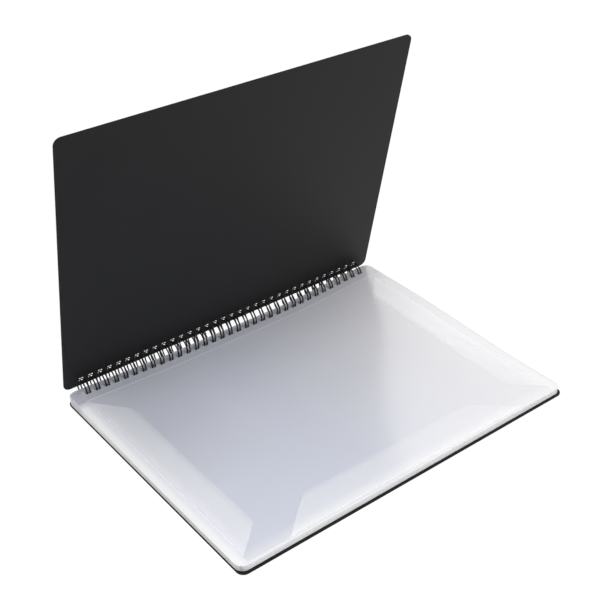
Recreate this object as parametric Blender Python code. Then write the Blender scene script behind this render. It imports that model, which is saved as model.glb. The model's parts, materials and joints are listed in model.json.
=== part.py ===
"""A wire-bound music folder, lying open: two covers, six film leaves with flaps, and one twin-loop wire.

Metres, +Z up. X runs along the binding, +Y points to the binding, and the part stands on Z = 0 with its
origin under the middle of its bounding box. Every sheet is drawn flat in the ring frame, whose X axis is
the centre line of the wire rings, with the sheet reaching towards -Y. It is then turned about that axis,
which is also its hinge.
"""

import math

import bmesh
import bpy
import numpy as np
from mathutils import Vector
from mathutils.geometry import delaunay_2d_cdt

# Covers
COVER_LENGTH = 0.310
COVER_WIDTH = 0.243
COVER_THICKNESS = 0.0010
COVER_CORNER = 0.006
COVER_HOLE_TO_EDGE = 0.0062
BACK_COVER_DROP = 0.0072
FRONT_COVER_RISE = 0.0045
OPEN_ANGLE = math.radians(75.6)

# Wire binding: three twin loops to the inch
LOOP_COUNT = 34
LOOP_PITCH = 0.0254 / 3
TWIN_SPACING = 0.0027
WIRE_DIAMETER = 0.0011
RING_RADIUS = 0.0088
ROOT_ANGLE = math.radians(297)
FIRST_BEND_ANGLE = math.radians(285)
TIP_ANGLE = math.radians(-45)
RING_STEP = math.radians(30)
BEND_LEAD = math.radians(5)
BEND_INSET = 0.0007
HOLE_SIZE = 0.0042

# Leaves, counted from the back cover: their edges and holes are in line, and the wire crosses each hole
# at a different place
LEAF_COUNT = 6
LEAF_LENGTH = 0.309
LEAF_HOLE_ROW = -0.00695
LEAF_HOLE_TO_FRONT = 0.2325
LEAF_HOLE_TO_EDGE = 0.0075
LEAF_CORNER = 0.007
SHEET_THICKNESS = 0.0002
POCKET_DEPTH = 0.0002
FLAP_THICKNESS = 0.00015
LEAF_GAP = 0.00025
FIRST_LEAF_GAP = 0.0003

# Flaps: places along an edge are measured from the leaf's front edge or from its middle
SEAM_WIDTH = 0.0010
SEAM_GAP = 0.00005
SIDE_SEAM_INSET = 0.0080
SIDE_FLAP_WIDTH = 0.0250
SIDE_FLAP_OUTER = (0.0080, 0.2210)
SIDE_FLAP_INNER = (0.0315, 0.1915)
FRONT_SEAM_INSET = 0.0026
FRONT_FLAP_WIDTH = 0.0295
FRONT_FLAP_OUTER_HALF = 0.1120
FRONT_FLAP_INNER_HALF = 0.0780

CORNER_STEPS = 4

# A square section with the area of the round wire
WIRE_HALF = WIRE_DIAMETER * math.sqrt(math.pi) / 4

# The ring is bent in straight stretches, and stands on the one under its centre
RING_STRETCHES = round((FIRST_BEND_ANGLE - TIP_ANGLE) / RING_STEP)
RING_ANGLES = [FIRST_BEND_ANGLE - RING_STEP * step for step in range(RING_STRETCHES + 1)]
RING_HEIGHT = (RING_RADIUS + WIRE_HALF) * math.cos(RING_STEP / 2)


def wire_reach(level):
    """How far in front of the ring's centre the wire passes through a sheet at this level."""
    for low, high in zip(RING_ANGLES, RING_ANGLES[1:]):
        start = RING_RADIUS * math.sin(low)
        end = RING_RADIUS * math.sin(high)
        if start <= level <= end:
            share = (level - start) / (end - start)
            return -RING_RADIUS * (math.cos(low) + share * (math.cos(high) - math.cos(low)))
    raise ValueError("the level is outside the ring")


BACK_COVER_FRONT = wire_reach(-BACK_COVER_DROP) - COVER_HOLE_TO_EDGE + COVER_WIDTH

# The wire lifts the back cover at the binding, so the cover leans forward until its front edge is down
LEAN = math.asin((RING_HEIGHT - BACK_COVER_DROP - COVER_THICKNESS / 2) / BACK_COVER_FRONT)
FRONT_EDGE = -BACK_COVER_FRONT * math.cos(LEAN) + (BACK_COVER_DROP - COVER_THICKNESS / 2) * math.sin(LEAN)
RING_CENTRE = Vector((0, -(FRONT_EDGE + RING_HEIGHT) / 2, RING_HEIGHT))

LEAF_PITCH = SHEET_THICKNESS + POCKET_DEPTH + FLAP_THICKNESS + LEAF_GAP
FIRST_SHEET_LEVEL = -BACK_COVER_DROP + COVER_THICKNESS / 2 + FIRST_LEAF_GAP


def clear_scene():
    for old in list(bpy.data.objects):
        bpy.data.objects.remove(old, do_unlink=True)


def material(name, colour, roughness):
    made = bpy.data.materials.new(name)
    made.use_nodes = True
    shader = made.node_tree.nodes["Principled BSDF"]
    shader.inputs["Base Color"].default_value = (*colour, 1)
    shader.inputs["Roughness"].default_value = roughness
    shader.inputs["Metallic"].default_value = 0
    return made


def hinge(name, location, turn):
    """An empty on a hinge axis, turned about X, that carries the pieces of one moving body."""
    empty = bpy.data.objects.new(name, None)
    empty.location = location
    empty.rotation_euler.x = turn
    bpy.context.scene.collection.objects.link(empty)
    return empty


def add_piece(name, shape, finish, parent=None, location=(0, 0, 0)):
    """Turn a finished bmesh into a named object with its own material."""
    bmesh.ops.recalc_face_normals(shape, faces=shape.faces[:])
    mesh = bpy.data.meshes.new(name)
    shape.to_mesh(mesh)
    shape.free()
    mesh.materials.append(finish)
    piece = bpy.data.objects.new(name, mesh)
    piece.parent = parent
    piece.location = location
    bpy.context.scene.collection.objects.link(piece)
    return piece


def rounded_rectangle(half_length, front, back, radius):
    """The outline of a sheet, anticlockwise from its back right corner."""
    corners = [
        (half_length - radius, back - radius, 0),
        (-half_length + radius, back - radius, 90),
        (-half_length + radius, front + radius, 180),
        (half_length - radius, front + radius, 270),
    ]
    outline = []
    for x, y, start in corners:
        for step in range(CORNER_STEPS + 1):
            angle = math.radians(start + 90 * step / CORNER_STEPS)
            outline.append((x + radius * math.cos(angle), y + radius * math.sin(angle)))
    return outline


def loop_middle(number):
    return (number - (LOOP_COUNT - 1) / 2) * LOOP_PITCH


def punched_holes(row):
    """The square holes of a sheet, one for each twin loop, in a row at Y = row."""
    half = HOLE_SIZE / 2
    holes = []
    for number in range(LOOP_COUNT):
        x = loop_middle(number)
        near = [(x - half, row - half), (x + half, row - half)]
        far = [(x + half, row + half), (x - half, row + half)]
        holes.append(near + far)
    return holes


def in_hole(point, row):
    beside = min(abs(point.x - loop_middle(number)) for number in range(LOOP_COUNT))
    return max(beside, abs(point.y - row)) < HOLE_SIZE / 2


def punched_sheet(outline, row, bottom, thickness):
    """A flat sheet with a row of holes: the rest is filled with triangles and extruded upwards."""
    points = []
    edges = []
    for loop in [outline] + punched_holes(row):
        first = len(points)
        points += [Vector(point) for point in loop]
        edges += [(first + i, first + (i + 1) % len(loop)) for i in range(len(loop))]
    inside_outline = 1
    filled = delaunay_2d_cdt(points, edges, [], inside_outline, 1e-7)
    shape = bmesh.new()
    corners = [shape.verts.new((point.x, point.y, bottom)) for point in filled[0]]
    for triangle in filled[2]:
        middle = sum((filled[0][index] for index in triangle), Vector((0, 0))) / 3
        if not in_hole(middle, row):
            shape.faces.new([corners[index] for index in triangle])
    raised = bmesh.ops.extrude_face_region(shape, geom=shape.faces[:], use_keep_orig=True)
    moved = [item for item in raised["geom"] if isinstance(item, bmesh.types.BMVert)]
    bmesh.ops.translate(shape, verts=moved, vec=(0, 0, thickness))
    return shape


def cover(name, level, finish, parent):
    """A stiff cover whose middle lies at the given level in the ring frame."""
    row = -wire_reach(level)
    back = row + COVER_HOLE_TO_EDGE
    outline = rounded_rectangle(COVER_LENGTH / 2, back - COVER_WIDTH, back, COVER_CORNER)
    shape = punched_sheet(outline, row, level - COVER_THICKNESS / 2, COVER_THICKNESS)
    return add_piece(name, shape, finish, parent)


def wire_route():
    """Places along the wire as (x, angle round the ring), from its first cut end to its last.

    The wire goes round the ring from the root to the tip, crosses to its twin, comes back to the root,
    and crosses there to the next loop.
    """
    round_ring = [ROOT_ANGLE] + RING_ANGLES
    route = []
    for number in range(LOOP_COUNT):
        left = loop_middle(number) - TWIN_SPACING / 2
        right = left + TWIN_SPACING
        following = left + LOOP_PITCH
        route += [(left, angle) for angle in round_ring]
        route += [(x, TIP_ANGLE - BEND_LEAD) for x in (left + BEND_INSET, right - BEND_INSET)]
        route += [(right, angle) for angle in reversed(round_ring)]
        if number < LOOP_COUNT - 1:
            route += [(x, ROOT_ANGLE + BEND_LEAD) for x in (right + BEND_INSET, following - BEND_INSET)]
    return route


def wire_binding(finish):
    """One unbroken wire, swept as a square section along its route."""
    route = wire_route()
    outward = [Vector((0, math.cos(angle), math.sin(angle))) for _, angle in route]
    centres = [Vector((x, 0, 0)) + RING_RADIUS * normal for (x, _), normal in zip(route, outward)]
    shape = bmesh.new()
    sections = []
    for index, centre in enumerate(centres):
        before = centres[max(index - 1, 0)]
        after = centres[min(index + 1, len(centres) - 1)]
        along = (after - before).normalized()
        up = outward[index]
        across = along.cross(up).normalized()
        corners = [across + up, up - across, -across - up, across - up]
        sections.append([shape.verts.new(centre + WIRE_HALF * corner) for corner in corners])
    for near, far in zip(sections, sections[1:]):
        for side in range(4):
            after = (side + 1) % 4
            shape.faces.new((near[side], near[after], far[after], far[side]))
    shape.faces.new(reversed(sections[0]))
    shape.faces.new(sections[-1])
    print(f"least gap of the wire to itself: {least_gap(centres) * 1000:.2f} mm")
    return add_piece("wire_binding", shape, finish, location=RING_CENTRE)


def least_gap(centres):
    """The clear distance between stretches of the wire that aren't next to each other."""
    points = np.array(centres)
    near_neighbours = 4
    least = math.inf
    for index in range(len(points) - near_neighbours):
        others = points[index + near_neighbours:]
        least = min(least, np.linalg.norm(others - points[index], axis=1).min())
    return least - WIRE_DIAMETER


def flap_shape(width, outer, inner, inward, sideways, level):
    """A flap that stands on its seam and reaches inwards over the sheet, with slanting ends.

    outer and inner are the ends of its seam and of its free edge, measured sideways from its hinge.
    """
    top = POCKET_DEPTH + FLAP_THICKNESS
    profile = [
        (0, SEAM_GAP),
        (0, top),
        (width, top),
        (width, POCKET_DEPTH),
        (SEAM_WIDTH, POCKET_DEPTH),
        (SEAM_WIDTH, SEAM_GAP),
    ]
    shape = bmesh.new()
    ends = []
    for side in range(2):
        ring = []
        for reach, height in profile:
            along = outer[side] + (inner[side] - outer[side]) * reach / width
            place = inward * reach + sideways * along + Vector((0, 0, height + level))
            ring.append(shape.verts.new(place))
        ends.append(ring)
    for index in range(len(profile)):
        after = (index + 1) % len(profile)
        shape.faces.new((ends[0][index], ends[0][after], ends[1][after], ends[1][index]))
    shape.faces.new(ends[0])
    shape.faces.new(reversed(ends[1]))
    return shape


def leaf(number, film, flap_film, parent):
    """A punched film sheet and its three flaps."""
    name = f"leaf_{number}"
    bottom = FIRST_SHEET_LEVEL + (number - 1) * LEAF_PITCH
    top = bottom + SHEET_THICKNESS
    front = LEAF_HOLE_ROW - LEAF_HOLE_TO_FRONT
    back = LEAF_HOLE_ROW + LEAF_HOLE_TO_EDGE
    outline = rounded_rectangle(LEAF_LENGTH / 2, front, back, LEAF_CORNER)
    sheet = punched_sheet(outline, LEAF_HOLE_ROW, bottom, SHEET_THICKNESS)
    add_piece(f"{name}_sheet", sheet, film, parent)

    seam = LEAF_LENGTH / 2 - SIDE_SEAM_INSET
    hinge_level = SEAM_GAP
    for side, word in ((-1, "left"), (1, "right")):
        shape = flap_shape(
            SIDE_FLAP_WIDTH,
            SIDE_FLAP_OUTER,
            SIDE_FLAP_INNER,
            Vector((-side, 0, 0)),
            Vector((0, 1, 0)),
            -hinge_level,
        )
        place = (side * seam, front, top + hinge_level)
        add_piece(f"{name}_{word}_flap", shape, flap_film, parent, place)

    shape = flap_shape(
        FRONT_FLAP_WIDTH,
        (-FRONT_FLAP_OUTER_HALF, FRONT_FLAP_OUTER_HALF),
        (-FRONT_FLAP_INNER_HALF, FRONT_FLAP_INNER_HALF),
        Vector((0, 1, 0)),
        Vector((1, 0, 0)),
        -hinge_level,
    )
    place = (0, front + FRONT_SEAM_INSET, top + hinge_level)
    add_piece(f"{name}_front_flap", shape, flap_film, parent, place)


def build():
    clear_scene()
    cover_plastic = material("black_cover_plastic", (0.022, 0.022, 0.024), 0.45)
    wire_coating = material("black_wire_coating", (0.012, 0.012, 0.013), 0.22)
    film = material("clear_leaf_film", (0.74, 0.76, 0.80), 0.20)
    flap_film = material("clear_flap_film", (0.84, 0.85, 0.87), 0.22)

    back_hinge = hinge("back_cover_lean", RING_CENTRE, LEAN)
    cover("back_cover", -BACK_COVER_DROP, cover_plastic, back_hinge)
    wire_binding(wire_coating)
    for number in range(1, LEAF_COUNT + 1):
        leaf(number, film, flap_film, hinge(f"leaf_{number}_hinge", RING_CENTRE, LEAN))
    front_hinge = hinge("front_cover_hinge", RING_CENTRE, -OPEN_ANGLE)
    cover("front_cover", FRONT_COVER_RISE, cover_plastic, front_hinge)


build()
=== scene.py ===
# %% [markdown]
# # A wire-bound music folder
# The folder lies open on a pale table. Two stiff black covers and six clear film leaves hang on one
# twin-loop wire, and each leaf has a flap of film on three sides that holds a sheet of music.
# The imported model is the fixed frame. Every piece made here stands where its solid stands, and all
# but the top leaf's flaps ride on the same body, so that covers, leaves and the lower flaps still turn
# about the wire.

# %% Load the frame
import json
import math

import bpy
import numpy as np
from mathutils import Matrix, Vector


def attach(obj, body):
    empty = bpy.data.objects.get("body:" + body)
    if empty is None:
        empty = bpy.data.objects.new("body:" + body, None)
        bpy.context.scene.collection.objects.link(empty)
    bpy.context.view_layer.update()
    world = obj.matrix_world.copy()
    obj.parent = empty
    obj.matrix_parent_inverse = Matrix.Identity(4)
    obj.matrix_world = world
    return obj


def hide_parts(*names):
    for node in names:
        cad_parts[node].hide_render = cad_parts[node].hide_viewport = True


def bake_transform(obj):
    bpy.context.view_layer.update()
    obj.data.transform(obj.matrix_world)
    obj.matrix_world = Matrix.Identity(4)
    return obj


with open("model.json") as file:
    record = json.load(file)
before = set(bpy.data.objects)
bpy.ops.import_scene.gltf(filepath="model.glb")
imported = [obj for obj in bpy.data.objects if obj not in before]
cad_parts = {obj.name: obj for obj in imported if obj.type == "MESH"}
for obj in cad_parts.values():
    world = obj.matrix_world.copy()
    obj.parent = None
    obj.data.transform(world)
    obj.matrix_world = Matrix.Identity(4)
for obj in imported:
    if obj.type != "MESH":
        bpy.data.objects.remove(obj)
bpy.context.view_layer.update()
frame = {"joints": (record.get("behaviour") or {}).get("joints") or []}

# %% [markdown]
# ## Where the sheets lie
# A bound sheet turns about the centre line of the wire rings, so it is easiest to draw flat in a
# "ring frame": X along the binding, the sheet reaching towards -Y, heights measured from the centre of
# the rings. Two matrices then carry it to its place, one for all that lies on the table and one for
# the standing front cover.

# %% Ring frame and shared sizes
MM = 0.001
LOOP_COUNT = 34
LOOP_PITCH = 0.0254 / 3
HOLE_SIZE = 4.2 * MM
OPEN_ANGLE = math.radians(75.6)
joints = {joint["name"]: joint for joint in frame["joints"]}
LEAN = math.asin(joints["right_flap_lift"]["axis"][2])
RING_CENTRE = Vector(joints["front_cover_turn"]["pos_m"])

lying = Matrix.Translation(RING_CENTRE) @ Matrix.Rotation(LEAN, 4, "X")
standing = Matrix.Translation(RING_CENTRE) @ Matrix.Rotation(-OPEN_ANGLE, 4, "X")

SOLID_RING = 8.8 * MM
SOLID_RING_CORNERS = np.radians([255, 225, 195, 165, 135, 105])


def hole_row(level):
    """Y of the holes of a cover at this level: where the rings pass through it."""
    heights = SOLID_RING * np.sin(SOLID_RING_CORNERS)
    return float(np.interp(level, heights, SOLID_RING * np.cos(SOLID_RING_CORNERS)))


print("ring centre (mm):", [round(v / MM, 2) for v in RING_CENTRE], "lean", round(LEAN, 5))

# %% [markdown]
# ## Node trees from Python
# Both materials and geometry rules are node trees. Wiring them by hand is long, so a small class wraps
# a socket: arithmetic on it adds Math nodes. Every other node comes from one method, which sets the
# node's options first and its sockets after them.

# %% A socket that can be reckoned with
class Socket:
    """An output socket in a node tree. Sums and products of it add Math nodes."""

    def __init__(self, nodes, socket):
        self.nodes = nodes
        self.socket = socket

    def __getitem__(self, name):
        """Another output of the same node, by name or identifier."""
        return Socket(self.nodes, find_socket(self.socket.node.outputs, name))

    def math(self, operation, first, second=0.0, clamp=False):
        options = {"operation": operation, "use_clamp": clamp}
        return self.nodes.add("ShaderNodeMath", options, {0: first, 1: second})

    def __add__(self, other):
        return self.math("ADD", self, other)

    def __sub__(self, other):
        return self.math("SUBTRACT", self, other)

    def __rsub__(self, other):
        return self.math("SUBTRACT", other, self)

    def __mul__(self, other):
        return self.math("MULTIPLY", self, other)

    def __truediv__(self, other):
        return self.math("DIVIDE", self, other)

    __radd__ = __add__
    __rmul__ = __mul__

    def share(self, start, length):
        """How far this value is from start along length, from 0 to 1."""
        return self.math("DIVIDE", self - start, length, clamp=True)

    def at_most_one(self):
        return self.math("MINIMUM", self, 1.0)

    def floor(self):
        return self.math("FLOOR", self)

    def sine(self):
        return self.math("SINE", self)

    def cosine(self):
        return self.math("COSINE", self)


def find_socket(sockets, key):
    if isinstance(key, int):
        return sockets[key]
    return next(s for s in sockets if key in (s.identifier, s.name))


class Nodes:
    """Adds nodes to one tree."""

    def __init__(self, tree):
        self.tree = tree

    def add(self, kind, options=None, sockets=None):
        """A node of this type, with its options set and its sockets given values or links."""
        node = self.tree.nodes.new(kind)
        for name, value in (options or {}).items():
            setattr(node, name, value)
        for key, value in (sockets or {}).items():
            target = find_socket(node.inputs, key)
            for item in value if isinstance(value, list) else [value]:
                if isinstance(item, Socket):
                    self.tree.links.new(item.socket, target)
                else:
                    target.default_value = item
        return Socket(self, node.outputs[0]) if node.outputs else None

    def mix(self, factor, first, second):
        """A colour between two others."""
        sockets = {"Factor_Float": factor, "A_Color": first, "B_Color": second}
        return self.add("ShaderNodeMix", {"data_type": "RGBA"}, sockets)["Result_Color"]

    def noise(self, place, scale, detail=2.0):
        """Smooth noise from 0 to 1 whose features are about 1 / scale metres across."""
        sockets = {"Vector": place, "Scale": scale, "Detail": detail}
        return self.add("ShaderNodeTexNoise", None, sockets)


def new_finish(name):
    """A material with an empty tree, ready for its nodes."""
    material = bpy.data.materials.new(name)
    material.use_nodes = True
    material.node_tree.nodes.clear()
    return material, Nodes(material.node_tree)


def close_finish(nodes, sockets):
    """The surface shader, joined to the material's output."""
    surface = nodes.add("ShaderNodeBsdfPrincipled", None, sockets)
    nodes.add("ShaderNodeOutputMaterial", None, {"Surface": surface})


print("node helpers ready")

# %% [markdown]
# ## Black cover plastic
# The covers are polypropylene sheet with a satin face: nearly black, with a fine pressed grain that
# breaks the reflection of the pages into a soft sheen. A single dark colour would look like a hole in
# the picture, so the grain goes into the bump, and broad clouds of handling change the gloss a little.
# The cut edge of the sheet is rougher and duller than its face.

# %% Cover finishes
BLACK_PLASTIC = (0.0060, 0.0060, 0.0064, 1)
RUBBED_PLASTIC = (0.0110, 0.0110, 0.0116, 1)
CUT_PLASTIC = (0.004, 0.004, 0.0042, 1)
SCUFFED_CUT = (0.010, 0.010, 0.0104, 1)

satin_cover, nodes = new_finish("satin_black_cover")
place = nodes.add("ShaderNodeTexCoord")["Object"]
grain = nodes.noise(place, 2400, 3.0)
handling = nodes.noise(place, 11, 4.0)
pressed = nodes.add("ShaderNodeBump", None, {"Strength": 0.22, "Distance": 0.00006, "Height": grain})
close_finish(nodes, {
    "Base Color": nodes.mix(handling, BLACK_PLASTIC, RUBBED_PLASTIC),
    "Roughness": 0.38 + handling * 0.10 + grain * 0.06,
    "Specular IOR Level": 0.19,
    "Normal": pressed,
})

cut_edge, nodes = new_finish("cut_cover_edge")
place = nodes.add("ShaderNodeTexCoord")["Object"]
saw_marks = nodes.noise(place, 900, 4.0)
rough_cut = nodes.add("ShaderNodeBump", None, {"Strength": 0.35, "Distance": 0.00008, "Height": saw_marks})
close_finish(nodes, {
    "Base Color": nodes.mix(saw_marks, CUT_PLASTIC, SCUFFED_CUT),
    "Roughness": 0.50 + saw_marks * 0.15,
    "Specular IOR Level": 0.10,
    "Normal": rough_cut,
})
print("made", satin_cover.name, "and", cut_edge.name)

# %% [markdown]
# ## Black wire coating
# The binding wire is steel with a thin glossy nylon coat. Its highlights are narrow, so the coat is
# smooth, with a slight ripple from dipping and duller spots where sheets rub along it.

# %% Wire finish
BLACK_COAT = (0.004, 0.004, 0.0045, 1)
RUBBED_COAT = (0.016, 0.016, 0.017, 1)

wire_coating, nodes = new_finish("black_wire_coating")
place = nodes.add("ShaderNodeTexCoord")["Object"]
ripple = nodes.noise(place, 700, 2.0)
rubbed = nodes.noise(place, 160, 3.0).share(0.52, 0.2)
dipped = nodes.add("ShaderNodeBump", None, {"Strength": 0.15, "Distance": 0.00005, "Height": ripple})
close_finish(nodes, {
    "Base Color": nodes.mix(rubbed, BLACK_COAT, RUBBED_COAT),
    "Roughness": 0.30 + rubbed * 0.14,
    "Specular IOR Level": 0.12,
    "Coat Weight": 0.07 - rubbed * 0.04,
    "Coat Roughness": 0.10,
    "Normal": dipped,
})
print("made", wire_coating.name)

# %% [markdown]
# ## Clear film
# The leaves are clear film, yet a stack of them looks whitish: every face sends back a little light.
# Each film is therefore partly see-through with a pale, hazy colour and a strong gloss, and long ripples
# soften the reflection of the standing cover. The welded margins and cut rims hold no sheet of music and
# have a finish of their own: whiter film, with a painted highlight on the left margin and painted shade
# on the right. Painted shade also darkens the film towards the binding and at the back left. Three mesh
# attributes guide the finishes: "rim" whitens the film, "fade" clears it towards the edges of a flap,
# and "punched" paints shade round the cut of a hole and darkens, a little, the strip behind the weld.
# The cut sides of the stack are painted greyer, as shade where the light enters between the films, and
# darker still at the left and on the lower leaves.

# %% Film finishes
COOL_HAZE = (0.800, 0.832, 0.945, 1)
WARM_HAZE = (0.900, 0.892, 0.925, 1)
COOL_FLAP = (0.965, 0.955, 0.955, 1)
WARM_FLAP = (0.985, 0.975, 0.985, 1)
WHITE_RIM = (0.905, 0.905, 0.905, 1)
SHADED_RIGHT_RIM = (0.855, 0.85, 0.86, 1)
HOLE_SHADE_AND_STRIP_DARK = (0.02, 0.02, 0.022, 1)
SHADED_HAZE = (0.60, 0.62, 0.70, 1)
SHADED_CUT = (0.25, 0.25, 0.255, 1)
GREY_CUT = (0.66, 0.66, 0.665, 1)
PALE_CUT = (0.82, 0.82, 0.825, 1)


def clear_film(name, cool, warm, opacity, back_left_shade, ior):
    """Hazy glossy film, cooler and darker on the left, with painted shade near the binding and at the back
    left.
    """
    material, nodes = new_finish(name)
    place = nodes.add("ShaderNodeTexCoord")["Object"]
    rim = nodes.add("ShaderNodeAttribute", {"attribute_name": "rim"})["Fac"]
    fade = nodes.add("ShaderNodeAttribute", {"attribute_name": "fade"})["Fac"]
    punched = nodes.add("ShaderNodeAttribute", {"attribute_name": "punched"})["Fac"]
    across = nodes.add("ShaderNodeSeparateXYZ", None, {"Vector": place})
    to_right = across["X"].share(-0.04, 0.16)
    to_binding = across["Y"].share(0.02, 0.09)
    to_back_left = across["X"].share(-0.06, -0.06) * across["Y"].share(-0.05, 0.08)
    cloud = nodes.noise(place, 16, 3.0)
    ripple = nodes.noise(place, 13, 1.0)
    streak = nodes.noise(place, 420, 2.0)
    sockets = {"Strength": 0.5, "Distance": 0.0022, "Height": ripple}
    waves = nodes.add("ShaderNodeBump", None, sockets)
    sockets = {"Strength": 0.04, "Distance": 0.00005, "Height": streak, "Normal": waves}
    skin = nodes.add("ShaderNodeBump", None, sockets)
    # Painted shade: the white rims are darker on the right than on the left.
    white = nodes.mix(to_right, WHITE_RIM, SHADED_RIGHT_RIM)
    shade = nodes.mix(cloud * 0.12, nodes.mix(to_right, cool, warm), white)
    # Painted shade: the haze darkens towards the binding and, scaled by the last argument, at the back
    # left.
    shaded = to_binding * 0.35 + to_back_left * (1 - to_binding * 0.6) * back_left_shade
    shade = nodes.mix(rim * 0.9, nodes.mix(shaded, shade, SHADED_HAZE), white)
    cleared = opacity - fade * opacity
    close_finish(nodes, {
        # Painted shade round the cut of each hole, and a little darkening along the strip behind the weld.
        "Base Color": nodes.mix(punched * 0.35, shade, HOLE_SHADE_AND_STRIP_DARK),
        "Roughness": 0.17 + cloud * 0.10,
        "IOR": ior,
        "Alpha": cleared + rim * (1 - cleared),
        "Normal": skin,
    })
    return material


def cut_film(name, dark, pale):
    """The cut side of a film: matt, with fine streaks along the cut, and painted shade at the left and
    below.
    """
    material, nodes = new_finish(name)
    place = nodes.add("ShaderNodeTexCoord")["Object"]
    across = nodes.add("ShaderNodeSeparateXYZ", None, {"Vector": place})
    # Painted shade: darker at the left of the stack and on the lower leaves.
    left_and_low_shade = across["X"].share(-0.145, -0.008) * (0.85 - across["Z"].share(0.0025, 0.004) * 0.35)
    streak = nodes.noise(place, 300, 3.0)
    sawn = nodes.add("ShaderNodeBump", None, {"Strength": 0.2, "Distance": 0.00005, "Height": streak})
    close_finish(nodes, {
        "Base Color": nodes.mix(left_and_low_shade, nodes.mix(streak, dark, pale), SHADED_CUT),
        "Roughness": 0.45 + streak * 0.2,
        "Specular IOR Level": 0.3,
        "Normal": sawn,
    })
    return material


leaf_film = clear_film("clear_leaf_film", COOL_HAZE, WARM_HAZE, 0.80, 0.60, 2.6)
flap_film = clear_film("clear_flap_film", COOL_FLAP, WARM_FLAP, 0.88, 0.0, 2.0)
rim_film = clear_film("white_rim_film", COOL_HAZE, WARM_HAZE, 0.85, 0.60, 1.7)
grey_side = cut_film("cut_film_side", GREY_CUT, PALE_CUT)
# Hole walls: painted shade inside the holes.
hole_side = cut_film("cut_hole_side", SHADED_HAZE, GREY_CUT)
FILM_FINISHES = [leaf_film, rim_film, grey_side, hole_side]
print("made", ", ".join(material.name for material in [*FILM_FINISHES, flap_film]))

# %% [markdown]
# ## Rules for repeating shapes
# The punched covers and the wire follow rules, so Geometry Nodes make them: a tree with named inputs
# stands on an empty mesh, and what it grows is then kept as a plain mesh. The inputs are set by the
# sockets' identifiers, because names need not be unique.

# %% Start a rule, and grow a piece from it
def new_rule(name, inputs):
    """A geometry tree with these named inputs: the tree, its nodes and its input sockets."""
    tree = bpy.data.node_groups.new(name, "GeometryNodeTree")
    for label, kind in inputs.items():
        tree.interface.new_socket(label, in_out="INPUT", socket_type="NodeSocket" + kind)
    tree.interface.new_socket("Piece", in_out="OUTPUT", socket_type="NodeSocketGeometry")
    nodes = Nodes(tree)
    return tree, nodes, nodes.add("NodeGroupInput")


def close_rule(nodes, piece):
    nodes.add("NodeGroupOutput", None, {"Piece": piece})


def add_object(name, mesh):
    piece = bpy.data.objects.new(name, mesh)
    bpy.context.scene.collection.objects.link(piece)
    return piece


def grow(name, tree, values, place, bevel=0.0):
    """The rule's shape for these values as a plain mesh object, carried to its place."""
    piece = add_object(name, bpy.data.meshes.new(name))
    rule = piece.modifiers.new("rule", "NODES")
    rule.node_group = tree
    for item in tree.interface.items_tree:
        if item.in_out == "INPUT":
            rule[item.identifier] = values[item.name]
    if bevel:
        softened = piece.modifiers.new("softened edges", "BEVEL")
        softened.width = bevel
        softened.segments = 2
        softened.limit_method = "ANGLE"
        softened.angle_limit = math.radians(40)
    evaluated = piece.evaluated_get(bpy.context.evaluated_depsgraph_get())
    mesh = bpy.data.meshes.new_from_object(evaluated)
    piece.modifiers.clear()
    piece.data = mesh
    mesh.name = name
    mesh.transform(place)
    return piece


def describe(piece):
    size = ", ".join(f"{v / MM:.1f}" for v in piece.dimensions)
    print(f"{piece.name}: {len(piece.data.polygons)} faces, {size} mm")


print("rules can be started and grown")

# %% [markdown]
# ## Covers
# Each cover is one sheet with rounded corners and a row of square punched holes, one for each twin
# loop. A boolean cut for every hole would work, but filling curves is cleaner: the outline and the
# holes are closed curves, one node fills what lies between them, and an extrusion gives the sheet its
# thickness. The walls it leaves take the cut-edge finish, and a bevel breaks the sharp corner.

# %% Rule for a punched cover
cover_rule, nodes, given = new_rule("punched_cover", {
    "Length": "Float", "Width": "Float", "Thickness": "Float", "Corner": "Float",
    "Back edge": "Float", "Level": "Float", "Hole row": "Float", "Hole size": "Float",
    "Hole depth": "Float", "Hole corner": "Float", "Holes": "Int", "Pitch": "Float",
    "Face finish": "Material", "Edge finish": "Material",
})


def rounded_outline(nodes, length, width, corner, steps):
    """A closed rectangle with rounded corners, round the origin."""
    sockets = {"Width": length, "Height": width}
    sharp = nodes.add("GeometryNodeCurvePrimitiveQuadrilateral", {"mode": "RECTANGLE"}, sockets)
    sockets = {"Curve": sharp, "Radius": corner, "Count": steps}
    return nodes.add("GeometryNodeFilletCurve", {"mode": "POLY"}, sockets)


outline = rounded_outline(nodes, given["Length"], given["Width"], given["Corner"], 14)
middle = nodes.add("ShaderNodeCombineXYZ", None, {"Y": given["Back edge"] - given["Width"] * 0.5})
outline = nodes.add("GeometryNodeTransform", None, {"Geometry": outline, "Translation": middle})
hole = rounded_outline(nodes, given["Hole size"], given["Hole depth"], given["Hole corner"], 3)
half_row = (given["Holes"] - 1) * given["Pitch"] * 0.5
first_hole = nodes.add("ShaderNodeCombineXYZ", None, {"X": half_row * -1, "Y": given["Hole row"]})
step = nodes.add("ShaderNodeCombineXYZ", None, {"X": given["Pitch"]})
row = nodes.add("GeometryNodeMeshLine", {"mode": "OFFSET"}, {
    "Count": given["Holes"], "Start Location": first_hole, "Offset": step,
})
holes = nodes.add("GeometryNodeInstanceOnPoints", None, {"Points": row, "Instance": hole})
holes = nodes.add("GeometryNodeRealizeInstances", None, {"Geometry": holes})
curves = nodes.add("GeometryNodeJoinGeometry", None, {"Geometry": [outline, holes]})
face = nodes.add("GeometryNodeFillCurve", {"mode": "TRIANGLES"}, {"Curve": curves})
raised = nodes.add("GeometryNodeExtrudeMesh", {"mode": "FACES"}, {
    "Mesh": face, "Offset Scale": given["Thickness"], "Individual": False,
})
underside = nodes.add("GeometryNodeFlipFaces", None, {"Mesh": face})
faces = nodes.add("GeometryNodeJoinGeometry", None, {"Geometry": [raised, underside]})
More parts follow.
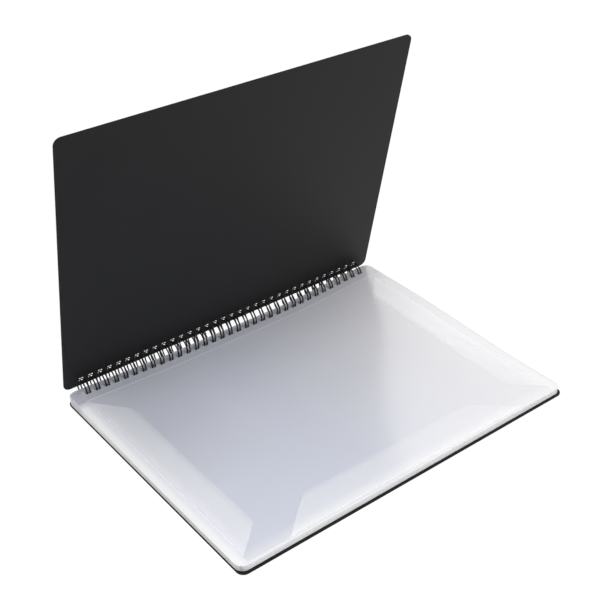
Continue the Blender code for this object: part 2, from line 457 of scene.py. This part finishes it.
sheet = nodes.add("GeometryNodeMergeByDistance", None, {"Geometry": faces, "Distance": 0.00001})
lift = nodes.add("ShaderNodeCombineXYZ", None, {"Z": given["Level"]})
sheet = nodes.add("GeometryNodeTransform", None, {"Geometry": sheet, "Translation": lift})
sheet = nodes.add("GeometryNodeRealizeInstances", None, {"Geometry": sheet})
sheet = nodes.add("GeometryNodeSetMaterial", None, {"Geometry": sheet, "Material": given["Face finish"]})
sheet = nodes.add("GeometryNodeSetMaterial", None, {
    "Geometry": sheet, "Selection": raised["Side"], "Material": given["Edge finish"],
})
close_rule(nodes, sheet)
print("rule", cover_rule.name, "has", len(cover_rule.nodes), "nodes")

# %% Grow the two covers
COVER_LENGTH = 310 * MM
COVER_WIDTH = 243 * MM
COVER_THICKNESS = 1.0 * MM
COVER_CORNER = 6 * MM
COVER_HOLE_TO_EDGE = 6.2 * MM
COVER_EDGE_BEVEL = 0.16 * MM
HOLE_CORNER = 0.5 * MM
BACK_COVER_LEVEL = -7.2 * MM
BACK_HOLE_EASE = 1.6 * MM
TRIM_PER_EASE = 0.3
FRONT_COVER_LEVEL = 4.5 * MM


def make_cover(node, body, level, place, ease):
    """The cover that stands for this solid, with its middle at this level in the ring frame. Its holes
    are eased by this much towards the back edge, where the round wire slants through them, and that
    edge is trimmed a little to clear the wire."""
    row = hole_row(level)
    trim = ease * TRIM_PER_EASE
    piece = grow(node + "_sheet", cover_rule, {
        "Length": COVER_LENGTH, "Width": COVER_WIDTH - trim, "Thickness": COVER_THICKNESS,
        "Corner": COVER_CORNER, "Back edge": row + COVER_HOLE_TO_EDGE - trim,
        "Level": level - COVER_THICKNESS / 2,
        "Hole row": row + ease / 2, "Hole size": HOLE_SIZE, "Hole depth": HOLE_SIZE + ease,
        "Hole corner": HOLE_CORNER, "Holes": LOOP_COUNT, "Pitch": LOOP_PITCH,
        "Face finish": satin_cover, "Edge finish": cut_edge,
    }, place, COVER_EDGE_BEVEL)
    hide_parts(node)
    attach(piece, body)
    describe(piece)


make_cover("back_cover", "base", BACK_COVER_LEVEL, lying, BACK_HOLE_EASE)
make_cover("front_cover", "front_cover", FRONT_COVER_LEVEL, standing, 0)

# %% [markdown]
# ## Twin-loop wire
# One wire makes the whole binding. Unrolled from the ring it is a meander: up one leg, round a narrow
# bend at the tip, down the twin leg, and round a wider bend at the root to the next loop. The rule
# numbers the points of a line, reckons from each number where it lies in the meander, wraps that round
# the ring, and sweeps a circle along the result.

# %% Rule for the wire
wire_rule, nodes, given = new_rule("twin_loop_wire", {
    "Loops": "Int", "Pitch": "Float", "Twin spacing": "Float", "Ring radius": "Float",
    "Root angle": "Float", "Leg angle": "Float", "Root depth": "Float", "Tip depth": "Float",
    "Wire radius": "Float", "Leg steps": "Int", "Bend steps": "Int", "Finish": "Material",
})
leg = given["Leg steps"] + 0
bend = given["Bend steps"] + 0
loop_steps = leg * 2 + bend * 2
number = nodes.add("GeometryNodeInputIndex")
loop = (number / loop_steps).floor()
step = number - loop * loop_steps
up = step.share(0, leg)
tip = step.share(leg, bend)
down = step.share(leg + bend, leg)
root = step.share(leg * 2 + bend, bend)
half_row = (given["Loops"] - 1) * given["Pitch"] * 0.5
left = loop * given["Pitch"] - half_row - given["Twin spacing"] * 0.5
past_tip = (1 - (tip * math.pi).cosine()) * given["Twin spacing"] * 0.5
past_root = (1 - (root * math.pi).cosine()) * (given["Pitch"] - given["Twin spacing"]) * 0.5
climbed = (up - down) * given["Leg angle"]
climbed = climbed + (tip * math.pi).sine() * given["Tip depth"]
climbed = climbed - (root * math.pi).sine() * given["Root depth"]
angle = given["Root angle"] - climbed
spot = nodes.add("ShaderNodeCombineXYZ", None, {
    "X": left + past_tip + past_root,
    "Y": angle.cosine() * given["Ring radius"],
    "Z": angle.sine() * given["Ring radius"],
})
points = nodes.add("GeometryNodeMeshLine", {"mode": "OFFSET"}, {
    "Count": given["Loops"] * loop_steps - bend + 1, "Offset": (MM, 0, 0),
})
points = nodes.add("GeometryNodeSetPosition", None, {"Geometry": points, "Position": spot})
route = nodes.add("GeometryNodeMeshToCurve", None, {"Mesh": points})
section = nodes.add("GeometryNodeCurvePrimitiveCircle", {"mode": "RADIUS"}, {
    "Resolution": 12, "Radius": given["Wire radius"],
})
tube = nodes.add("GeometryNodeCurveToMesh", None, {
    "Curve": route, "Profile Curve": section, "Fill Caps": True,
})
tube = nodes.add("GeometryNodeSetShadeSmooth", None, {"Geometry": tube, "Shade Smooth": True})
tube = nodes.add("GeometryNodeRealizeInstances", None, {"Geometry": tube})
tube = nodes.add("GeometryNodeSetMaterial", None, {"Geometry": tube, "Material": given["Finish"]})
close_rule(nodes, tube)
print("rule", wire_rule.name, "has", len(wire_rule.nodes), "nodes")

# %% Grow the wire
wire = grow("twin_loop_wire", wire_rule, {
    "Loops": LOOP_COUNT, "Pitch": LOOP_PITCH, "Twin spacing": 2.7 * MM, "Ring radius": 8.39 * MM,
    "Root angle": math.radians(297), "Leg angle": math.radians(342),
    "Root depth": math.radians(9), "Tip depth": math.radians(8),
    "Wire radius": 0.58 * MM, "Leg steps": 34, "Bend steps": 8, "Finish": wire_coating,
}, Matrix.Translation(RING_CENTRE))
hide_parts("wire_binding")
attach(wire, "base")
describe(wire)

# %% [markdown]
# ## Leaves
# A leaf is a punched film sheet. It isn't quite flat: the wire holds its back edge, and its sides curl
# up a little towards the back. So that it can bend, the sheet is a grid whose lines run along the edges of
# the holes. Cells inside a hole are left out, and the grid's square corners are pressed round. The holes
# are a little longer towards the back than they are wide, because the round wire slants through them. A
# low welded ridge runs along the binding, and it and the margins carry the "rim" mark for the finish.

# %% Closed film from a grid
def film_solid(name, spots, lower, upper, cells, kinds, marks, finishes):
    """A closed film: grid spots (rows, columns, xy), heights of its two faces, cells kept, the finish of
    each cell, marks for the finishes, and the finishes. The last two finishes are for its outer sides and
    its holes."""
    used = np.zeros(lower.shape, bool)
    for across in (slice(None, -1), slice(1, None)):
        for along in (slice(None, -1), slice(1, None)):
            used[across, along] |= cells
    count = int(used.sum())
    index = np.full(used.shape, -1)
    index[used] = np.arange(count)
    top = np.column_stack([spots[used], upper[used]])
    bottom = np.column_stack([spots[used], lower[used]])
    around = np.pad(cells, 1)
    rows, columns = cells.shape
    faces, walls, face_kinds, wall_kinds = [], [], [], []
    for r, c in np.argwhere(cells):
        face_kinds += [int(kinds[r, c])] * 2
        ring = [int(index[i]) for i in ((r, c), (r, c + 1), (r + 1, c + 1), (r + 1, c))]
        faces += [tuple(ring), tuple(v + count for v in reversed(ring))]
        beside = [(r, c + 1), (r + 1, c + 2), (r + 2, c + 1), (r + 1, c)]
        for side, cell in enumerate(beside):
            if not around[cell]:
                near, far = ring[side], ring[(side + 1) % 4]
                walls.append((near, near + count, far + count, far))
                inside = 0 < cell[0] <= rows and 0 < cell[1] <= columns
                wall_kinds.append(len(finishes) - (1 if inside else 2))
    mesh = bpy.data.meshes.new(name)
    mesh.from_pydata(np.vstack([top, bottom]).tolist(), [], faces + walls)
    mesh.polygons.foreach_set("use_smooth", [True] * len(faces) + [False] * len(walls))
    for label, values in marks.items():
        mark = mesh.attributes.new(label, "FLOAT", "POINT")
        mark.data.foreach_set("value", np.tile(values[used], 2).astype(np.float32))
    for finish in finishes:
        mesh.materials.append(finish)
    mesh.polygons.foreach_set("material_index", face_kinds + wall_kinds)
    mesh.transform(lying)
    return add_object(name, mesh)


def smooth(value):
    """From 0 to 1 with level ends."""
    value = np.clip(value, 0, 1)
    return value * value * (3 - 2 * value)


print("films can be made from grids")

# %% Sizes and curl of the leaves
LEAF_COUNT = 6
LEAF_HALF = 154.5 * MM
LEAF_ROW = -6.95 * MM
LEAF_FRONT = LEAF_ROW - 232.5 * MM
LEAF_BACK = LEAF_ROW + 7.5 * MM
LEAF_CORNER = 7 * MM
SIDE_SEAM = LEAF_HALF - 8 * MM
FRONT_SEAM_INSET = 2.6 * MM
SIDE_FLAP_BACK = LEAF_FRONT + 221 * MM
SHEET_THICKNESS = 0.2 * MM
FIRST_LEVEL = -6.4 * MM
LEAF_PITCH = 0.8 * MM
CURL_LEFT = 3.0 * MM
CURL_RIGHT = 5.3 * MM
CURL_FLAT_HALF = 50 * MM


def leaf_level(number):
    return FIRST_LEVEL + (number - 1) * LEAF_PITCH


def curl(number, x, y):
    """How far a leaf's sides stand above its flat place: less for the leaves further down."""
    side = smooth((np.abs(x) - CURL_FLAT_HALF) / (LEAF_HALF - CURL_FLAT_HALF))
    from_front = (y - LEAF_FRONT) / (LEAF_BACK - LEAF_FRONT)
    left = CURL_LEFT * smooth((from_front - 0.4) / 0.6)
    right = CURL_RIGHT * smooth((from_front - 0.15) / 0.65)
    return np.where(x < 0, left, right) * side * (number / LEAF_COUNT) ** 2


print("top leaf lies", round(leaf_level(LEAF_COUNT) / MM, 2), "mm from the ring centre's height")

# %% Punched film sheets
CORNER_CELLS = 6
WELD_FROM_RINGS = 17.4 * MM
WELD_HALF = 0.8 * MM
WELD_HEIGHT = 0.03 * MM
WELD_WHITE = 0.85
STRIP_DARK = 0.22
MARGIN_BACK = -18.6 * MM
RIM_WIDTH = 1.8 * MM
RIM_RISE = 0.35 * MM
SEAM_LINE = 0.4 * MM
INNER_LEFT_WHITE = 0.55
OUTER_LEFT_WHITE = 0.97
LEFT_MARGIN_FADE = 5 * MM
RIGHT_WHITE = 0.85
RIGHT_MARGIN_FADE = 12 * MM
FRONT_WHITE = 0.75
FRONT_WHITE_WIDTH = 14 * MM
CUT_WIDTH = 0.4 * MM
HOLE_EASE = 0.45 * MM
LONG_CELL = 7 * MM


def grid_lines(low, high, longest):
    """Evenly spaced lines from low to high, no further apart than longest."""
    return np.linspace(low, high, max(2, math.ceil((high - low) / longest) + 1))


def round_corners(x, y, half, front, back, radius):
    """Press the square corners of a grid round."""
    middle = (front + back) / 2
    u = (np.abs(x) - (half - radius)) / radius
    v = (np.abs(y - middle) - ((back - front) / 2 - radius)) / radius
    corner = (u > 0) & (v > 0)
    round_u, round_v = u * np.sqrt(1 - v * v / 2), v * np.sqrt(1 - u * u / 2)
    x = np.where(corner, np.sign(x) * (half - radius + radius * round_u), x)
    y = np.where(corner, middle + np.sign(y - middle) * ((back - front) / 2 - radius + radius * round_v), y)
    return x, y


def make_sheet(number):
    """The punched sheet of one leaf, with its curl, weld line, thick rims and marks."""
    middles = (np.arange(LOOP_COUNT) - (LOOP_COUNT - 1) / 2) * LOOP_PITCH
    hole = HOLE_SIZE / 2 + np.array([0, CUT_WIDTH])
    hole_edges = np.concatenate([middles + side for side in (-hole[1], -hole[0], hole[0], hole[1])])
    rounding = np.linspace(LEAF_HALF - LEAF_CORNER, LEAF_HALF, CORNER_CELLS + 1)
    seam = np.array([SIDE_SEAM - SEAM_LINE, SIDE_SEAM])
    xs = np.unique(np.round(np.concatenate([-rounding, -seam, hole_edges, seam, rounding]), 7))
    weld = -WELD_FROM_RINGS + WELD_HALF * np.array([-1, -0.5, 0, 0.5, 1])
    ys = np.unique(np.round(np.concatenate([
        np.linspace(LEAF_FRONT, LEAF_FRONT + LEAF_CORNER, CORNER_CELLS + 1),
        [LEAF_FRONT + FRONT_SEAM_INSET],
        grid_lines(LEAF_FRONT + LEAF_CORNER, MARGIN_BACK, LONG_CELL),
        weld,
        grid_lines(weld[-1], LEAF_ROW - hole[1], LONG_CELL),
        [LEAF_ROW - hole[0], LEAF_ROW + hole[0] + HOLE_EASE, LEAF_ROW + hole[1] + HOLE_EASE],
        np.linspace(LEAF_BACK - LEAF_CORNER, LEAF_BACK, CORNER_CELLS + 1),
    ]), 7))
    x, y = np.meshgrid(xs, ys)
    in_x = np.abs((xs[:-1] + xs[1:])[None, :] / 2 - middles[:, None]).min(0) < HOLE_SIZE / 2
    in_y = np.abs((ys[:-1] + ys[1:] - HOLE_EASE) / 2 - LEAF_ROW) < (HOLE_SIZE + HOLE_EASE) / 2
    cells = ~(in_y[:, None] & in_x[None, :])
    to_edge = np.minimum(LEAF_HALF - np.abs(x), y - LEAF_FRONT)
    column = (np.abs(xs[:-1] + xs[1:]) / 2 > SIDE_SEAM)[None, :] & (ys[1:] < SIDE_FLAP_BACK)[:, None]
    strip = ((ys[:-1] + ys[1:]) / 2 < LEAF_FRONT + FRONT_SEAM_INSET)[:, None]
    ridge = np.clip(1 - np.abs(y + WELD_FROM_RINGS) / WELD_HALF, 0, 1)
    # The left margin whitens outwards: partly the welded film's white, partly a painted highlight where the
    # curled edge reflects the room. The right margin is less white, and both fade out past the back of the
    # side flaps.
    outside_seam = np.clip((np.abs(x) - SIDE_SEAM) / (LEAF_HALF - SIDE_SEAM), 0, 1)
    outwards = smooth((outside_seam - 0.2) / 0.35)
    left_white = INNER_LEFT_WHITE + (OUTER_LEFT_WHITE - INNER_LEFT_WHITE) * outwards
    margin = np.where(x < 0, left_white, RIGHT_WHITE)
    margin = margin * smooth((SIDE_FLAP_BACK - y) / np.where(x < 0, LEFT_MARGIN_FADE, RIGHT_MARGIN_FADE))
    rim = np.where(np.abs(x) > SIDE_SEAM - SEAM_LINE / 4, margin, ridge * WELD_WHITE)
    rim = np.maximum(rim, FRONT_WHITE * smooth(1 - (y - LEAF_FRONT) / FRONT_WHITE_WIDTH))
    # Painted shade round the cut of each hole, then a little darkening along the strip behind the weld.
    from_row = np.maximum(LEAF_ROW - y, y - LEAF_ROW - HOLE_EASE)
    from_hole = np.maximum(np.abs(x[..., None] - middles).min(-1), from_row)
    punched = np.clip((hole[1] - from_hole) / CUT_WIDTH, 0, 1)
    punched = np.maximum(punched, STRIP_DARK * smooth((y + WELD_FROM_RINGS) / WELD_HALF))
    x, y = round_corners(x, y, LEAF_HALF, LEAF_FRONT, LEAF_BACK, LEAF_CORNER)
    lower = leaf_level(number) + curl(number, x, y)
    thick = RIM_RISE * np.clip(1 - to_edge / RIM_WIDTH, 0, 1)
    upper = lower + SHEET_THICKNESS + WELD_HEIGHT * ridge + thick
    name = f"leaf_{number}_sheet"
    spots = np.stack([x, y], -1)
    marks = {"rim": rim, "punched": punched}
    piece = film_solid(name + "_film", spots, lower, upper, cells, column | strip, marks, FILM_FINISHES)
    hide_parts(name)
    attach(piece, f"leaf_{number}")
    return piece


for number in range(1, LEAF_COUNT + 1):
    describe(make_sheet(number))

# %% [markdown]
# ## Flaps
# A flap is a strip of the same film, welded to the sheet along its outer edge and free on the inner
# side, with slanting ends. It is drawn as a grid too: one direction runs inwards from the weld, the
# other along it. On the top leaf it stands up a little towards its free edge, and it is left where it
# is made, on no body. Film this clear throws hardly any shadow, so the flaps are hidden from shadow
# rays and from scattered light: otherwise their thin free edges would draw dark lines on the sheet.

# %% Film flaps
POCKET_DEPTH = 0.2 * MM
FLAP_THICKNESS = 0.15 * MM
SEAM_GAP = 0.05 * MM
SEAM_WIDTH = 1.0 * MM
OPENING_WIDTH = 7 * MM
FLAP_CORNER = 3.0 * MM
FREE_EDGE_RISE = 0.15 * MM
FREE_EDGE_SOFT = 6 * MM
SOFT_END = 4 * MM
HAZY_WIDTH = 11 * MM
WELD_HAZE = 0.10
LONG_FLAP_CELL = 2.5 * MM
BEND_WIDTH = 7 * MM
SIDE_FLAP = {
    "width": 25 * MM, "outer": (8 * MM, 221 * MM), "inner": (31.5 * MM, 191.5 * MM),
    "crisp_ends": (0.15, 0),
}
FRONT_FLAP = {
    "width": 29.5 * MM, "outer": (-112 * MM, 112 * MM), "inner": (-78 * MM, 78 * MM),
    "crisp_ends": (0.15, 0.15),
}


def flap_grid(width, outer, inner, crisp_ends, clearness, edge_fade):
    """Grid of a flap as reach from its weld and place along it, with the free corners rounded, and its
    marks: it clears towards the weld and the free edge, and its ends are crisp and white or soft."""
    bent = SEAM_WIDTH * 1.6
    reach = np.unique(np.round(np.concatenate([
        [0, SEAM_WIDTH / 2, SEAM_WIDTH, bent],
        grid_lines(bent, width - FLAP_CORNER, LONG_FLAP_CELL),
        width - FLAP_CORNER * (1 - np.sin(np.linspace(0, math.pi / 2, 7))),
    ]), 7))
    past = np.clip((reach - (width - FLAP_CORNER)) / FLAP_CORNER, 0, 1)
    rounding = FLAP_CORNER * (1 - np.sqrt(1 - past**2))
    start = outer[0] + (inner[0] - outer[0]) * reach / width + rounding
    end = outer[1] + (inner[1] - outer[1]) * reach / width - rounding
    share = np.unique(np.concatenate([[0, 0.006], np.linspace(0.012, 0.988, 45), [0.994, 1]]))
    along = start[:, None] + (end - start)[:, None] * share[None, :]
    rim = np.zeros(along.shape)
    rim[:, [0, -1]] = crisp_ends
    rim[reach <= SEAM_WIDTH, :] = WELD_HAZE
    reach = np.broadcast_to(reach[:, None], along.shape)
    clear = clearness[0] + (clearness[1] - clearness[0]) * share
    fade = clear * (0.82 + 0.18 * smooth(reach / HAZY_WIDTH))
    fade = fade + (1 - fade) * edge_fade * smooth(1 - (width - reach) / FREE_EDGE_SOFT)
    to_soft_end = along[:, -1:] - along if crisp_ends[1] == 0 else np.full(along.shape, width)
    fade = np.maximum(fade, smooth(1 - to_soft_end / SOFT_END))
    fade = np.maximum(fade, 1 - smooth(reach / SEAM_WIDTH))
    return reach, along, {"rim": rim, "fade": fade}


def make_flap(number, word, shape, corner_to_spot):
    """One flap of a leaf. corner_to_spot turns reach and place along the weld into x and y."""
    reach, along, marks = flap_grid(**shape)
    x, y = corner_to_spot(reach, along)
    sheet_top = leaf_level(number) + SHEET_THICKNESS + curl(number, x, y)
    opened = smooth((reach - SEAM_WIDTH) / OPENING_WIDTH)
    lower = sheet_top + SEAM_GAP + (POCKET_DEPTH - SEAM_GAP) * opened
    if number == LEAF_COUNT:
        lower = lower + FREE_EDGE_RISE * smooth(reach / shape["width"])
    spots = np.stack([x, y], -1)
    upper = lower + FLAP_THICKNESS
    if np.cross(spots[0, 1] - spots[0, 0], spots[1, 0] - spots[0, 0]) < 0:
        spots, lower, upper = spots[:, ::-1], lower[:, ::-1], upper[:, ::-1]
        marks = {label: values[:, ::-1] for label, values in marks.items()}
    name = f"leaf_{number}_{word}_flap"
    cells = np.ones((lower.shape[0] - 1, lower.shape[1] - 1), bool)
    kinds = np.zeros(cells.shape, int)
    piece = film_solid(name + "_film", spots, lower, upper, cells, kinds, marks, [flap_film] * 3)
    piece.visible_shadow = False
    piece.visible_diffuse = False
    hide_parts(name)
    if number == LEAF_COUNT:
        weld = Vector((*corner_to_spot(0.0, 0.0), leaf_level(number)))
        inside = Vector((*corner_to_spot(BEND_WIDTH, 0.0), leaf_level(number)))
        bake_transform(piece)
    else:
        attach(piece, f"leaf_{number}")
    return piece


FLAPS = {
    "left": (
        {**SIDE_FLAP, "clearness": (0.79, 0.83), "edge_fade": 0.65},
        lambda reach, along: (reach - SIDE_SEAM, LEAF_FRONT + along),
    ),
    "right": (
        {**SIDE_FLAP, "clearness": (0.88, 0.38), "edge_fade": 1.0},
        lambda reach, along: (SIDE_SEAM - reach, LEAF_FRONT + along),
    ),
    "front": (
        {**FRONT_FLAP, "clearness": (0.82, 0.88), "edge_fade": 0.65},
        lambda reach, along: (along, LEAF_FRONT + FRONT_SEAM_INSET + reach),
    ),
}
for number in range(1, LEAF_COUNT + 1):
    made = [make_flap(number, word, shape, place) for word, (shape, place) in FLAPS.items()]
    print(f"leaf {number}:", sum(len(piece.data.polygons) for piece in made), "faces in its flaps")

# %% [markdown]
# ## Table, light and camera
# The picture has a white table and a white room with no hard shadow. The world lights the folder
# evenly, and one large lamp overhead gives the faces a little direction. The table keeps the folder's
# faint shadow, but looks white to the camera and in reflections: its material adds white only for
# those rays, so that it sheds no extra light on the folder.

# %% Table and world
AMBIENT = 1.0
PALE_TABLE = (0.90, 0.90, 0.90, 1)
BRIGHT_TABLE = (0.94, 0.94, 0.94, 1)
WHITE = (1, 1, 1, 1)
TABLE_GLOW = 1.02
TABLE_WHITE = 0.92


def seen_ray(nodes):
    """1 for rays from the camera, and for those mirrored or sent through on their way to it."""
    path = nodes.add("ShaderNodeLightPath")
    return (path["Is Camera Ray"] + path["Is Glossy Ray"] + path["Is Transmission Ray"]).at_most_one()


table_finish, nodes = new_finish("pale_table")
place = nodes.add("ShaderNodeTexCoord")["Object"]
mottle = nodes.noise(place, 6, 3.0)
pale = nodes.mix(mottle, PALE_TABLE, BRIGHT_TABLE)
matt = nodes.add("ShaderNodeBsdfDiffuse", None, {"Color": pale})
white = nodes.add("ShaderNodeEmission", None, {"Color": WHITE, "Strength": TABLE_GLOW})
both = nodes.add("ShaderNodeMixShader", None, {0: seen_ray(nodes) * TABLE_WHITE, 1: matt, 2: white})
nodes.add("ShaderNodeOutputMaterial", None, {"Surface": both})

TABLE_HALF = 6.0
TABLE_LEVEL = -0.05 * MM
corners = [(-1, -1), (1, -1), (1, 1), (-1, 1)]
mesh = bpy.data.meshes.new("table")
mesh.from_pydata([(x * TABLE_HALF, y * TABLE_HALF, TABLE_LEVEL) for x, y in corners], [], [(0, 1, 2, 3)])
mesh.materials.append(table_finish)
table = add_object("table", mesh)

world = bpy.data.worlds.new("white_room")
world.use_nodes = True
world.node_tree.nodes.clear()
nodes = Nodes(world.node_tree)
sky = nodes.add("ShaderNodeBackground", None, {"Color": WHITE, "Strength": AMBIENT})
nodes.add("ShaderNodeOutputWorld", None, {"Surface": sky})
bpy.context.scene.world = world
print("table and white room made")

# %% Lamp
LAMP_PLACE = Vector((-0.5, -0.35, 1.5))
LAMP_SIZE = 1.4
LAMP_POWER = 7.0

lamp_data = bpy.data.lights.new("soft_lamp", "AREA")
lamp_data.shape = "SQUARE"
lamp_data.size = LAMP_SIZE
lamp_data.energy = LAMP_POWER
lamp = bpy.data.objects.new("soft_lamp", lamp_data)
lamp.location = LAMP_PLACE
lamp.rotation_euler = (Vector((0, 0, 0)) - LAMP_PLACE).to_track_quat("-Z", "Y").to_euler()
bpy.context.scene.collection.objects.link(lamp)
print("lamp at", tuple(LAMP_PLACE), "with", LAMP_POWER, "W")

# %% Camera
VIEW_AZIMUTH = math.radians(-38.02)
VIEW_ELEVATION = math.radians(32.53)
VIEW_ROLL = math.radians(-1.32)
VIEW_DISTANCE = 0.9950
VIEW_TARGET = Vector((0.09294, 0.08692, 0))
SENSOR = 36.0
FOCAL_PIXELS = 1116.11
FRAME_PIXELS = 600
OPTICAL_CENTRE = (335.02, 311.16)

back = Vector((
    math.sin(VIEW_AZIMUTH) * math.cos(VIEW_ELEVATION),
    -math.cos(VIEW_AZIMUTH) * math.cos(VIEW_ELEVATION),
    math.sin(VIEW_ELEVATION),
))
right = Vector((0, 0, 1)).cross(back).normalized()
upward = back.cross(right)
rolled_right = right * math.cos(VIEW_ROLL) + upward * math.sin(VIEW_ROLL)
rolled_up = upward * math.cos(VIEW_ROLL) - right * math.sin(VIEW_ROLL)

camera_data = bpy.data.cameras.new("camera")
camera_data.sensor_width = SENSOR
camera_data.lens = FOCAL_PIXELS / FRAME_PIXELS * SENSOR
camera_data.shift_x = (FRAME_PIXELS / 2 - OPTICAL_CENTRE[0]) / FRAME_PIXELS
camera_data.shift_y = (OPTICAL_CENTRE[1] - FRAME_PIXELS / 2) / FRAME_PIXELS
camera = bpy.data.objects.new("camera", camera_data)
turn = Matrix((rolled_right, rolled_up, back)).transposed()
camera.matrix_world = Matrix.Translation(VIEW_TARGET + back * VIEW_DISTANCE) @ turn.to_4x4()
bpy.context.scene.collection.objects.link(camera)
bpy.context.scene.camera = camera
bpy.context.scene.view_settings.view_transform = "Standard"
print("camera at", tuple(round(v, 3) for v in camera.location), "lens", round(camera_data.lens, 1), "mm")
